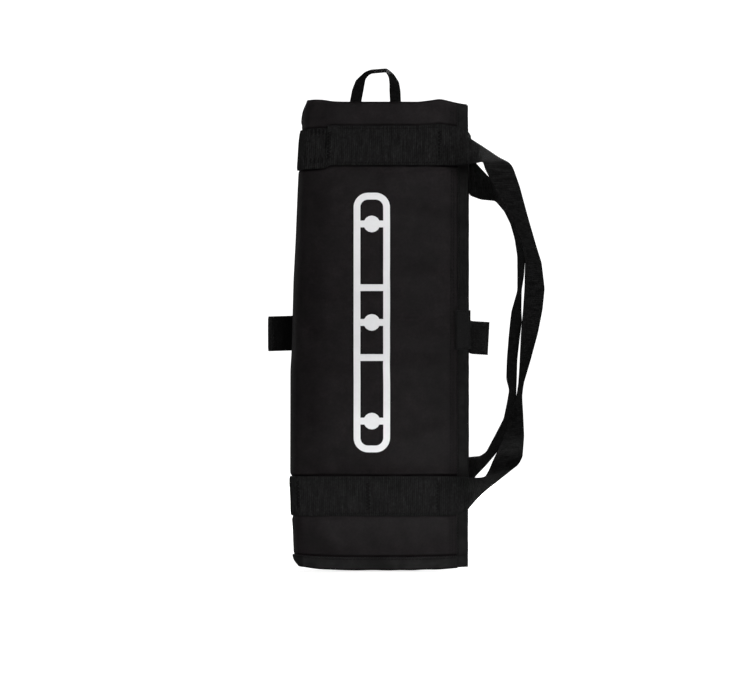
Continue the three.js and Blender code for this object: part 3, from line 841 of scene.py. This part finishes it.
def build_cover_stitches(side):
    """The closure tape's two rows, which show on the cover, and the edge tape's own row."""
    straps = [(LOWER_Z, 20), (GIRTH_Z, 18), (UPPER_Z, 20)]
    if side == FRONT:
        straps.remove((GIRTH_Z, 18))
    starts = [14.0] + [z + room for z, room in straps]
    stops = [z - room for z, room in straps] + [TOP - 5]
    rows = [row_on_skin(side * run_at(x), z0, side * run_at(x), z1, lift)
            for z0, z1 in zip(starts, stops) for x, lift in ((68.4, 0.1), (70.8, 0.1), (76.4, 0.95))]
    thread = stitches(f"{WORD[side]}_edge_stitches", rows, 0.3)
    stand_for(thread, COVER_BODY[side], f"{WORD[side]}_tape_seam")


for side in (FRONT, REAR):
    build_edge_tape(side)
    build_hem_tape(side)
    build_cover_stitches(side)

# ---- straps and handles

LIFT = 0.35 + WEB / 2  # middle of a strap lying on the cover
PROUD = LIFT + WEB / 2 + 0.12  # thread lying on a strap


def strap_edges(s, z, width, lift, drop=0.0):
    return skin(s, z + width / 2 + drop, lift), skin(s, z - width / 2 + drop, lift)


def edge_lines(stations, width, lean):
    """Each station is outer edge x, z, inner edge x, z and middle depth; the rest of the width is depth."""
    outer, inner = [], []
    for ox, oz, ix, iz, y in stations:
        seen = min(width, math.hypot(ox - ix, oz - iz))
        deep = lean * math.sqrt(width ** 2 - seen ** 2) / 2
        outer.append((ox, y + deep, oz))
        inner.append((ix, y - deep, iz))
    return np.array(outer), np.array(inner)


HANDLE_STATIONS = {
    FRONT: [
        (74, 428.7, 74, 391, -9.5), (82, 425, 82, 391.2, -13.5), (88.5, 417, 89, 391.6, -17),
        (98, 411, 94, 392.3, -18.5), (107, 405, 97, 393, -18.5), (116.5, 398.5, 98.5, 393.5, -17),
        (126.5, 393.8, 100, 393.2, -15), (130, 388.5, 101.8, 387, -14), (136.2, 371, 109.8, 371, -12.5),
        (144.3, 341, 124.5, 344, -11.5), (149.8, 322, 132.8, 328, -11), (153, 311, 137.5, 315, -10.5),
        (157.5, 297, 140.5, 299, -10), (160.5, 272, 140, 272, -9.5), (158.5, 252, 138.5, 250, -9),
        (154, 229, 136.5, 227, -9), (146.5, 201.5, 135.3, 199, -9), (140, 180, 134.2, 180, -9),
        (138.5, 168, 132.5, 168, -9), (139.6, 151, 126.5, 151, -10), (140.6, 129, 119.5, 127, -11),
        (139, 109, 109.5, 106, -12.5), (135, 101.5, 105.5, 96.5, -13.5), (127, 95.5, 102, 90.5, -15),
        (114, 85, 98, 89.8, -16.5), (102.5, 76, 93, 89.8, -18), (93, 66.5, 89, 90, -17.5),
        (84, 55.8, 82, 90.3, -14), (73, 52.7, 73, 90.5, -9.8),
    ],
    REAR: [
        (73.5, 427.5, 70.5, 389.6, 9.5), (84.5, 426.5, 79.5, 387.8, 12), (89.3, 421, 83.5, 381, 13),
        (89.8, 408, 86, 370, 14), (91.5, 396.5, 88, 362.5, 15), (99.5, 387.5, 99.5, 358.5, 15.5),
        (108, 378, 113.5, 357.5, 16.5), (121, 360, 122.5, 347, 16.5), (132.5, 340, 128.3, 335, 15.5),
        (138.5, 322.5, 132.3, 320.5, 14.5), (141, 304, 134.8, 304, 13.5), (140, 285, 135, 285, 13),
        (137.5, 270, 135, 270, 12.5), (137.5, 250, 129, 250, 12.5), (138, 240, 127.8, 240, 12.5),
        (136, 225, 126.3, 225, 12.5), (133.5, 203, 124.6, 203, 12.5), (133, 184, 124, 184, 12.5),
        (132.5, 173.5, 127, 173.5, 12.5), (132.5, 162, 124.5, 160, 12.5), (129.5, 146.5, 121.5, 145.5, 13),
        (122.5, 128, 113.5, 130, 14), (113, 112.5, 104.5, 113, 15.5), (103.5, 101, 98.5, 109, 17.2),
        (94, 91, 90, 108.5, 18), (86, 80, 82, 107.5, 19), (74.5, 65.5, 72.5, 101.5, 13.5),
    ],
}
# how pale each free handle is at a height, where its folds catch the light or turn from it
HANDLE_TONE = {
    FRONT: ([73, 78, 88, 94, 101, 107, 114, 122, 133, 145, 156, 165, 180, 212, 235, 380, 390, 396, 402, 408],
            [0, 1.8, 2.6, 0.6, -1.4, -0.8, 0.9, 0.8, -0.3, -0.8, -0.7, -0.2, -0.7, -0.6, 0, 0, 0.3, 0.5, 0.4,
             0]),
    REAR: ([105, 125, 350, 380], [0.6, 0.35, 0.35, 1.5]),
}


def carry_strap(side, lean, top_from):
    """One length of webbing: sewn along the top strap, free as the handle, sewn along the bottom strap."""
    word = WORD[side]
    x = np.linspace(top_from, TACK_X - 1, 60)
    lift = LIFT + np.where(side == FRONT, 1.5 * smooth((-47 - x) / 6), 0)
    up, low = strap_edges(side * run_at(x), UPPER_Z, STRAP_W, lift)
    back = np.linspace(TACK_X - 1, -10.0, 50)
    up2, low2 = strap_edges(side * run_at(back), LOWER_Z, STRAP_W, LIFT)
    # on the lower strap the handle's outer edge is the strap's lower one
    outer, inner = edge_lines(HANDLE_STATIONS[side], STRAP_W, lean)
    edges = soften(np.concatenate([up, outer, low2]), np.concatenate([low, inner, up2]), 1.9, 9.0, sewn_here)
    # painted shade and painted highlights along the free handles; the painted shade starts sooner on the
    # rear handle, which lies in the front handle's shadow
    dark_from = OPEN_X + 6 if side == FRONT else OPEN_X - 12

    def pale(mid):
        beyond, tone = mid[:, 0] - dark_from, soft_interp(mid[:, 2], *HANDLE_TONE[side], 3)
        return 1 - smooth(beyond / 20) + smooth((beyond + 14) / 12) * tone

    strap = webbing(f"{word}_carry_strap", *edges, WEB, WEBBING, rough=sewn_here, pale=pale)
    hang_from(strap, COVER_BODY[side], f"{word}_handle", [TACK_X + 2, 0, 240], [88.0, 0, 240],
              f"{word}_upper_strap", f"{word}_handle", *(["rear_lower_strap"] if side == REAR else []))


carry_strap(FRONT, 1, -58.0)
carry_strap(REAR, -1, -10.0)


def strap_end(name, side, end_x, z, *nodes):
    """The piece of a strap that runs from the fold to the carry strap's end."""
    s = np.linspace(0, run_at(end_x), 60)
    up, low = strap_edges(side * s, z, STRAP_W, LIFT, sag(s) if z == UPPER_Z else 0.0)
    follow_fold(webbing(name, up, low, WEB, WEBBING, rough=sewn_here), side, *nodes)


strap_end("front_upper_strap_tail", FRONT, -49.0, UPPER_Z, "upper_strap_wrap")
strap_end("front_lower_strap_tail", FRONT, -10.0, LOWER_Z, "front_lower_strap", "lower_strap_wrap")
strap_end("rear_upper_strap_end", REAR, -10.0, UPPER_Z)
strap_end("rear_lower_strap_end", REAR, -10.0, LOWER_Z)


def strap_thread(name, side, z, columns, first, node, width=STRAP_W, last=TACK_X, tail_lift=0.0):
    """Two rows along the strap and a zigzag tack across it at each column."""
    reach = width / 2 - 2.6
    rows = [row_on_skin(side * run_at(first), z + way * reach, side * run_at(last), z + way * reach, PROUD)
            for way in (-1, 1)]
    for x in columns:
        lift = PROUD + (tail_lift if x < 0 else 0.0)
        rows.append(tack_on_skin(side * run_at(x), z - reach + 3, z + reach - 4, lift))
    stand_for(stitches(name, rows, 0.36), COVER_BODY[side], node)


strap_thread("front_upper_stitching", FRONT, UPPER_Z, [-55.0, TACK_X], -46.0, "front_upper_tacks",
             tail_lift=1.5)
strap_thread("front_lower_stitching", FRONT, LOWER_Z, [-10.5, TACK_X], -52.0, "front_lower_tacks")
for word, strap_middle in (("upper", UPPER_Z), ("lower", LOWER_Z)):
    strap_thread(f"rear_{word}_stitching", REAR, strap_middle, [-51.5, -10.5, TACK_X], -52.0,
                 f"rear_{word}_tacks")


def tail_tacks():
    """Small tacks that hold both straps where they come round the fold to the front."""
    rows = [tack_on_skin(-run_at(-77.8), LOWER_Z - 12, LOWER_Z + 14, PROUD, 3.0)]
    for edge in (-14.0, 13.0):
        for x in (-73.5, -69.5, -65.5, -61.5):
            z = UPPER_Z + edge + float(sag(np.array(run_at(x))))
            rows.append(tack_on_skin(-run_at(x), z, z + 4, PROUD, 2.2, 1.2))
    follow_fold(stitches("front_tail_tacks", rows, 0.34), FRONT)


tail_tacks()

# ---- girth strap, tabs and closure

TAB_START_X = 62.0
TAB_SLOPE = -0.06  # the closure tab droops beyond the edge
TAB_DROOP_X = 84


def build_girth():
    x = np.linspace(FOLD_X - 1, TAB_START_X, 60)
    strap = webbing("girth_strap_web", *strap_edges(run_at(x), GIRTH_Z, GIRTH_W, LIFT), WEB, WEBBING)
    stand_for(strap, "rear_cover", "girth_strap")
    strap_thread("girth_stitching", REAR, GIRTH_Z, [-50.0, 60.0], -66.0, "girth_strap_tacks", GIRTH_W, 60.0)


def build_closure_tab():
    x = np.linspace(TAB_START_X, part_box("closure_tab")[1].x / MM - OFFSET - 1.0, 44)
    lift = LIFT + 0.95 * smooth((x - 69) / 6)
    up, low = strap_edges(run_at(x), GIRTH_Z, GIRTH_W, lift, (TAB_Z - GIRTH_Z) * smooth((x - 78) / 12))
    droop = np.zeros_like(up)
    droop[:, 2] = TAB_SLOPE * np.maximum(x - TAB_DROOP_X, 0) + 0.8
    skew = np.array([[1.8, 0, 0]]) * smooth((x - TAB_DROOP_X) / 10)[:, None]
    tab = webbing("closure_tab_web", up + droop + skew, low + droop, WEB, WEBBING)
    hang_from(tab, "rear_cover", "closure_tab", [77.0, 0, TAB_Z], [90.5, 0, TAB_Z], "closure_tab")


build_girth()
build_closure_tab()


def hook_field(name, centres, normals, tall, body):
    """Rows of little moulded hooks: a leaning four-sided stalk with a bent tip each."""
    centres, normals = centres.reshape(-1, 3), normals.reshape(-1, 3)
    a = unit(np.cross(normals, [0, 0, 1.0]))
    b = np.cross(normals, a)
    way = np.where(np.arange(len(centres)) % 2, 1.0, -1.0)[:, None]
    rings = []
    for rise, reach, half in ((0.0, 0.0, 0.26), (0.7, 0.1, 0.2), (1.0, 0.42, 0.17), (0.74, 0.72, 0.1)):
        c = centres + normals * tall * rise + b * way * reach * 0.8
        rings.append(np.stack([c + a * half * i + b * half * j * way
                               for i, j in ((-1, -1), (1, -1), (1, 1), (-1, 1))], 1))
    one = np.concatenate([quads(len(rings), 4, closed=True), [[3, 2, 1, 0], [12, 13, 14, 15]]])
    faces = (one[None] + (np.arange(len(centres)) * 16)[:, None, None]).reshape(-1, 4)
    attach(make(name, np.stack(rings, 1), faces, HOOK_TAPE), body)


def fuzz(x, z, tall, waves, grain):
    """The uneven height of loop pile: crossed waves and a random part."""
    a, b, c, d = waves
    wave = tall * np.sin(x * a + z * b) * np.sin(z * c - x * d)
    return wave + RNG.uniform(-grain, grain, wave.shape)


CLOSURE_X = (55.6, 72.4)  # the loop tape inside the front cover and the hook tape inside the rear one


def build_closure_tapes():
    z0, z1 = 15.0, TOP - 5.0
    x, z = np.linspace(*CLOSURE_X, 22)[:, None], np.linspace(z0, z1, 340)[None, :]
    s = -run_at(x)
    edge = np.minimum(smooth((x - CLOSURE_X[0]) / 0.9), smooth((CLOSURE_X[1] - x) / 0.9))
    pile = (0.72 + fuzz(x, z, 0.22, (5.1, 1.7, 3.9, 2.3), 0.12)) * edge
    loops = solid_grid("front_loop_strip", base(s, z, -(depth_at(s) + 0.08)),
                       base(s, z, -(depth_at(s) + 0.35 + pile)), LOOP_PILE)
    stand_for(loops, "front_cover", "front_loop_tape")

    s, z = run_at(np.linspace(*CLOSURE_X, 10))[:, None], np.linspace(z0, z1, 60)[None, :]
    tape = solid_grid("rear_hook_backing", base(s, z, -(depth_at(s) + 0.08)),
                      base(s, z, -(depth_at(s) + 0.48)), HOOK_TAPE)
    stand_for(tape, "rear_cover", "rear_hook_tape")
    s, z = run_at(np.arange(56.8, 71.6, 1.7))[:, None], np.arange(16.5, TOP - 6.5, 2.0)[None, :]
    root = base(s, z, -(depth_at(s) + 0.44))
    hook_field("rear_hooks", root, unit(base(s, z, -(depth_at(s) + 1.44)) - root), 0.75, "rear_cover")


def build_closure_patch():
    x = np.linspace(72.8, 87.6, 26)[:, None]
    z = np.linspace(PATCH_Z - PATCH_W / 2, PATCH_Z + PATCH_W / 2, 58)[None, :]
    z0, z1 = z[0, 0], z[0, -1]
    rim = np.minimum(np.minimum(x - x[0], x[-1] - x), np.minimum(z - z0, z1 - z))
    rise = 0.5 + (0.75 + fuzz(x, z, 0.16, (4.7, 2.9, 4.3, 3.1), 0.1)) * smooth(rim / 1.4)
    lift = 0.4 + 0.8 * smooth((x - 70) / 4.5)
    patch = solid_grid("closure_patch_pile", skin(-run_at(x), z, lift + rise), skin(-run_at(x), z, lift),
                       LOOP_PILE)
    stand_for(patch, "front_cover", "closure_loop_patch")
    left, right, low, high = 74.2, 86.2, z0 + 1.5, z1 - 1.5
    sides = ((left, low, left, high), (right, high, right, low), (left, high, right, high),
             (right, low, left, low))
    rows = [row_on_skin(-run_at(xa), za, -run_at(xb), zb, 2.3, 2.6, 2.1) for xa, za, xb, zb in sides]
    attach(stitches("closure_patch_stitches", rows, 0.26), "front_cover")


def build_closure_pad():
    """The hook pad on the tab's face, a flat backing with its hooks."""
    low, high = (np.array(corner) / MM - [OFFSET, 0, 0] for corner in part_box("closure_hook_pad"))

    def on_pad(x, z, y):
        xx, zz = np.meshgrid(x, z, indexing="ij")
        return np.stack([xx, 0 * xx + y, zz + TAB_SLOPE * np.maximum(xx - TAB_DROOP_X, 0)], -1)

    x, z = np.linspace(low[0], high[0], 12), np.linspace(low[2], high[2], 16)
    pad = solid_grid("closure_hook_backing", on_pad(x, z, high[1]), on_pad(x, z, high[1] - 0.45),
                     HOOK_TAPE)
    stand_for(pad, "closure_tab", "closure_hook_pad")
    root_y = high[1] - 0.42
    root = on_pad(np.arange(x[0] + 1.0, x[-1] - 0.6, 1.5), np.arange(z[0] + 1.2, z[-1] - 0.8, 1.7), root_y)
    up = np.zeros_like(root)
    up[..., 1] = -1
    hook_field("closure_hooks", root, up, root_y - low[1], "closure_tab")


def build_pull_tab():
    """A loop of webbing folded flat, sewn behind the fold."""
    low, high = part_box("pull_tab")
    x_end = low.x / MM - OFFSET
    middle_z = (low.z + high.z) / 2 / MM + 0.8
    r = (high.y - low.y) / 2 / MM - WEB / 2
    middle_y = low.y / MM + r + WEB / 2
    turn = np.linspace(math.pi / 2, 3 * math.pi / 2, 14)
    line = [(x, middle_y + r) for x in np.linspace(-69.0, x_end + 4, 18)]
    line += [(x_end + r + WEB / 2 + r * math.cos(a), middle_y + r * math.sin(a)) for a in turn]
    line += [(x, middle_y - r) for x in np.linspace(x_end + 4, -78.0, 16)]
    x, y = (np.array(line) - [0.9, 0]).T
    half = GIRTH_W / 2 + 0.9
    z = middle_z + 0.03 * (x + 85)
    # a painted highlight along the tab's folded end
    tab = webbing("pull_tab_web", np.stack([x, y, z + half], -1), np.stack([x, y, z - half], -1), WEB * 0.95,
                  DARK_WEBBING, pale=lambda mid: 1 + 8.5 * np.exp(-((mid[:, 0] - x_end) / 3.3) ** 2))
    hang_from(tab, "rear_cover", "pull_tab", [-71.0, 0, middle_z], [-84.0, 0, middle_z], "pull_tab")


build_closure_tapes()
build_closure_patch()
build_closure_pad()
build_pull_tab()

# ---- hanging loop

LOOP_W, LOOP_T = 11.0, 1.2
LOOP_STATIONS = [
    (-28, 443, -17, 443, -9), (-28.2, 452.6, -17, 452.6, -9), (-26, 464, -15, 463, -9),
    (-22.5, 473, -13, 474, -9), (-14, 481, -10.5, 477.3, -9), (-8, 483.4, -7.5, 479.3, -9),
    (0, 484, 0, 480, -9), (7.5, 484.6, 7, 480.6, -9), (14, 479.5, 9.5, 475.5, -9),
    (19.3, 471.5, 10, 470, -9), (20.8, 463, 10, 463, -9), (21.2, 452.6, 10.5, 452.6, -9),
    (21, 443, 10.3, 443, -9),
]
loop_edges = soften(*edge_lines(LOOP_STATIONS, LOOP_W, 1), 1.0, 3.0)
loop = webbing("hanging_loop_web", *loop_edges, LOOP_T, DARK_WEBBING, 1.3, 0.09)
hang_from(loop, "front_cover", "hanging_loop", [0, -9, 447.0], [0, -9, 463.0], "hanging_loop")

# ---- printed mark

def build_print():
    """The flat mark, cut into a fine grid and laid on the swollen fabric."""
    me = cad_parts["rink_print"].data.copy()
    me.name = "rink_mark"
    bm = bmesh.new()
    bm.from_mesh(me)
    bmesh.ops.remove_doubles(bm, verts=bm.verts, dist=1e-6)
    low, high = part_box("rink_print")
    for axis, step in ((0, 2.5 * MM), (2, 4.0 * MM)):
        for value in np.arange(low[axis] + step, high[axis], step):
            where, normal = Vector((0, 0, 0)), Vector((0, 0, 0))
            where[axis], normal[axis] = value, 1
            bmesh.ops.bisect_plane(bm, geom=list(bm.verts) + list(bm.edges) + list(bm.faces),
                                   dist=1e-7, plane_co=where, plane_no=normal)
    co = np.array([v.co for v in bm.verts]) / MM - [OFFSET, 0, 0]
    outside = co[:, 1] < (low.y + high.y) / 2 / MM
    lean = lean_at(co[:, 2])
    x = OPEN_X - (OPEN_X - co[:, 0]) / (1 - lean / (2 * OPEN_X))
    laid = to_frame(skin(-run_at(x), co[:, 2], np.where(outside, 0.3, 0.06)))
    for v, point in zip(bm.verts, laid):
        v.co = point
    bmesh.ops.recalc_face_normals(bm, faces=bm.faces)
    bm.to_mesh(me)
    bm.free()
    me.materials.clear()
    me.materials.append(PRINT)
    mark = link("rink_mark", me)
    stand_for(mark, "front_cover", "rink_print")


build_print()

# ---- stage, light and camera

def build_stage():
    """A pale floor that looks brighter to the camera than it shines on the wrap."""
    reach = 80
    me = bpy.data.meshes.new("floor")
    corners = [(-reach, -reach), (reach, -reach), (reach, reach), (-reach, reach)]
    me.from_pydata([(x, y, -0.0012) for x, y in corners], [], [(0, 1, 2, 3)])
    n = Nodes("pale_floor")
    seen = n.add("ShaderNodeLightPath").outputs["Is Camera Ray"]
    pale = n.add("ShaderNodeMix", {0: seen, 2: 0.35, 3: 0.6}).outputs[0]
    away = n.add("ShaderNodeVectorMath", {0: n.place}, operation="LENGTH").outputs["Value"]
    n.bsdf.inputs["Emission Color"].default_value = (1, 1, 1, 1)
    n.feed(n.bsdf.inputs["Emission Strength"], n.product(seen, n.remap(away, 0.72, 1.1, 0.2, 0.9)))
    me.materials.append(n.finish((1, 1, 1), pale, 0.9, gleam=0.0))
    link("floor", me)


def light_up(name, kind, place, look, power, **settings):
    light = bpy.data.lights.new(name, kind)
    light.energy = power
    for key, value in settings.items():
        setattr(light, key, value)
    ob = link(name, light)
    ob.location = place
    ob.rotation_euler = (Vector(look) - Vector(place)).to_track_quat("-Z", "Y").to_euler()


build_stage()
for name, place, look, across, power in (
        ("key", (1.9, -2.4, 1.3), (0, 0, 0.25), 1.4, 58),
        ("fill", (-1.5, -2.5, 0.9), (0, 0, 0.2), 1.2, 17),
        ("low", (0.5, -1.2, 0.1), (0, 0, 0.06), 0.5, 5),
        ("top", (0.2, 0.3, 2.4), (0, 0, 0.2), 1.2, 9),
        ("rim", (-2.2, 0.5, 0.5), (-0.1, 0, 0.25), 0.8, 13),
        ("back", (0.9, 2.8, 1.3), (0, 0, 0.25), 1.2, 95),
        ("side", (2.9, 0.9, 0.7), (0, 0, 0.25), 1.0, 30)):
    light_up(name, "AREA", place, look, power, shape="SQUARE", size=across)
for name, place, look, degrees, power in (
        ("hem", (0.25, -1.5, 0.12), (0, 0, 0.005), 9.5, 110),
        ("crown", (0.25, -1.5, 0.5), (0, 0, 0.44), 10.0, 36)):
    light_up(name, "SPOT", place, look, power, spot_size=math.radians(degrees), spot_blend=1.0,
             shadow_soft_size=0.15)

world = bpy.data.worlds.new("studio")
bpy.context.scene.world = world
world.use_nodes = True
tree = world.node_tree
background = tree.nodes["Background"]
path = tree.nodes.new("ShaderNodeLightPath")
strength = tree.nodes.new("ShaderNodeMapRange")
strength.inputs[3].default_value, strength.inputs[4].default_value = 0.1, 1.2
tree.links.new(path.outputs["Is Camera Ray"], strength.inputs[0])
tree.links.new(strength.outputs[0], background.inputs["Strength"])
background.inputs["Color"].default_value = (1, 1, 1, 1)

PIXEL = 0.9653  # millimetres of the object to one pixel of a frame 750 wide
FRAME_WIDTH, SENSOR = 750, 36
DISTANCE = 5.0
camera_data = bpy.data.cameras.new("camera")
camera_data.sensor_width = SENSOR
camera_data.lens = SENSOR * (DISTANCE - HALF * MM) / (FRAME_WIDTH * PIXEL * MM)
camera_data.clip_end = 200
camera = link("camera", camera_data)
camera.location = ((OFFSET - 3.9) * MM, -DISTANCE, 0.2236)
camera.rotation_euler = (math.pi / 2, 0, 0)
bpy.context.scene.camera = camera
bpy.context.scene.view_settings.view_transform = "Standard"
